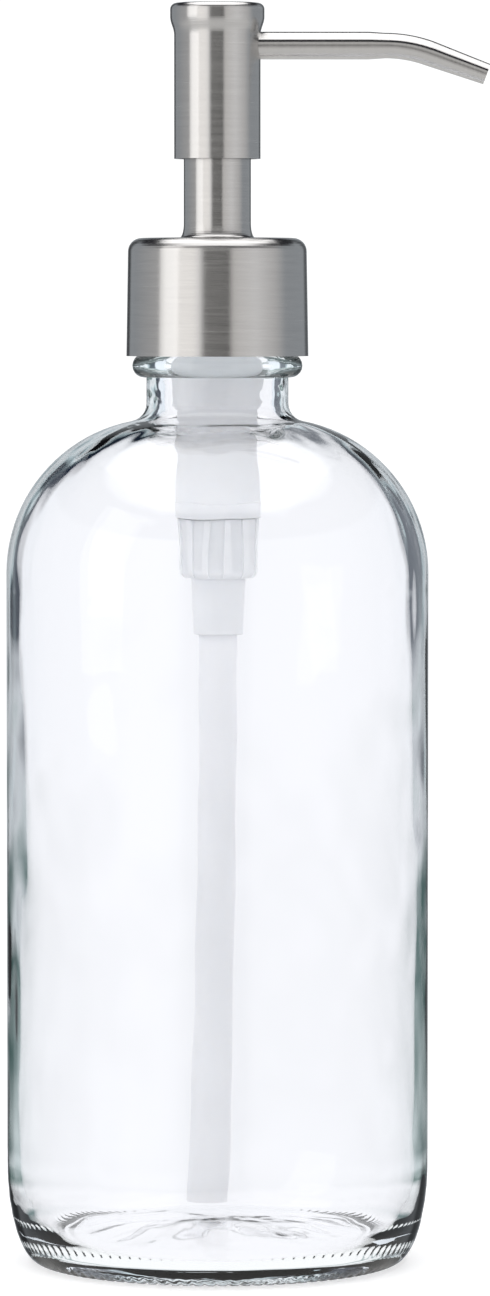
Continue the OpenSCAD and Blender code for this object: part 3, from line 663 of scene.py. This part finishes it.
# Tones that the thick edges of the glass bend into view, by the angle from straight ahead
WALL = [(0, (0.8, 0.85, 0.9)), (134, (0.8, 0.86, 0.93)), (138, (0.01, 0.015, 0.04)),
        (154, (0.01, 0.02, 0.035)), (158, (0.5, 0.62, 0.66)), (164, (0.88, 0.92, 0.95)),
        (173, (0.72, 0.79, 0.82)), (180, (0.4, 0.46, 0.5))]

# Tones below the object, seen through the heel, by how steeply they lie
STRIPS = [(0.07, (0.8, 0.84, 0.88)), (0.1, (0.02, 0.09, 0.08)), (0.14, (0.62, 0.7, 0.71)),
          (0.2, (0.04, 0.13, 0.11)), (0.25, (0.85, 0.88, 0.9)), (0.4, (0.9, 0.92, 0.94)),
          (0.44, (0.2, 0.3, 0.3)), (0.5, (0.92, 0.94, 0.95))]


def warmed(angle, tone):
    """The bright cards and the front are a little warm, and the dim sides a little cool."""
    blue = 0.96 if tone > 1.1 or abs(angle) < 21 else 1.14 if tone < 0.5 else 1.0
    return tone, tone * (0.5 + blue / 2), tone * blue


def seen_by_steel(t, way):
    """Cards round the object, a bright top with a dark line under it, and a pale ground."""
    turn = t.math("ARCTAN2", way[0], t.math("MULTIPLY", way[1], -1.0))
    share = t.math("ADD", t.math("DIVIDE", turn, 2 * math.pi), 0.5)
    around = t.tones(share, [((angle + 180) / 360, warmed(angle, tone)) for angle, tone in AROUND])
    ahead = t.share(t.math("ABSOLUTE", turn), 0.42, 0.3)
    off_level = t.share(t.math("ABSOLUTE", way[2]), 0.1, 0.22)
    around = t.mix(t.math("MULTIPLY", ahead, off_level), around, (0.45, 0.45, 0.44, 1))
    around = t.mix(t.share(way[2], 0.68, 0.8), around, (1.5, 1.5, 1.5, 1))
    around = t.mix(t.share(t.away(way[2], 0.6), 0.16, 0.12), around, (0.02, 0.02, 0.025, 1))
    return t.mix(t.share(way[2], -0.3, -0.5), around, (0.72, 0.72, 0.71, 1))


def seen_by_glass(t, way, inside, around):
    """What the glass bends into view: a dark line inside its edge, light above, and teal strips below."""
    bent = t.math("DIVIDE", t.math("ARCCOSINE", way[1]), math.pi)
    wall = t.tones(t.math("SUBTRACT", 1.0, bent), [(angle / 180, tone) for angle, tone in WALL])
    around = t.mix(inside, around, wall)
    right = t.add("ShaderNodeMapRange", i0=way[0], i1=0.0, i2=0.1, i3=0.0, i4=0.15).outputs[0]
    around = t.mix(t.math("MULTIPLY", inside, right), around, (0.8, 0.86, 0.93, 1))
    high = t.share(way[2], 0.45, 0.6)
    around = t.mix(t.math("MULTIPLY", inside, high), around, (0.85, 0.89, 0.92, 1))
    strips = t.tones(t.math("MULTIPLY", way[2], -1.0), STRIPS)
    down = t.share(way[2], -0.05, -0.08)
    return t.mix(t.math("MULTIPLY", inside, down), around, strips)


def studio():
    """White surroundings: the steel mirrors tones round them, the glass's edges bend others into view, and
    the pieces in the bottle are lit more than the white."""
    world = bpy.data.worlds.new("studio")
    scene.world = world
    world.use_nodes = True
    world.node_tree.nodes.clear()
    t = Tree(world.node_tree)
    way = t.add("ShaderNodeSeparateXYZ", i0=t.add("ShaderNodeTexCoord").outputs["Generated"]).outputs
    path = t.add("ShaderNodeLightPath").outputs
    inside = t.math("GREATER_THAN", path["Transmission Depth"], 0.5)
    through = t.math("GREATER_THAN", path["Transmission Depth"], 2.5)
    soft = t.math("MULTIPLY", inside, t.math("GREATER_THAN", path["Diffuse Depth"], 0.5))
    tone = seen_by_glass(t, way, inside, seen_by_steel(t, way))
    tone = t.mix(through, tone, (0.93, 0.935, 0.96, 1))
    tone = t.mix(soft, tone, (1.34, 1.34, 1.36, 1))
    tone = t.mix(path["Is Camera Ray"], tone, (1.0, 1.0, 1.0, 1))
    back = t.add("ShaderNodeBackground", Color=tone, Strength=1.08)
    t.add("ShaderNodeOutputWorld", Surface=back.outputs[0])


def lights():
    softbox("overhead", (0.0, 0.0, 1.6), (0, 0, 0.1), (2.2, 2.2), 6.0)
    softbox("left_box", (-1.5, -0.7, 0.7), (0, 0, 0.12), (0.9, 1.5), 3.0, (1, 0.985, 0.96))


def camera():
    body = bpy.data.cameras.new("camera")
    body.lens = LENS
    body.sensor_width = 36
    body.clip_end = 60
    holder = bpy.data.objects.new("camera", body)
    holder.location = (CAMERA_X, -CAMERA_AWAY, CAMERA_Z)
    aim = Vector((CAMERA_X, 0, AIM_Z))
    holder.rotation_euler = (aim - holder.location).to_track_quat("-Z", "Y").to_euler()
    scene.collection.objects.link(holder)
    scene.camera = holder


scene.view_settings.view_transform = "Standard"
object_parts()
floor()
studio()
lights()
camera()
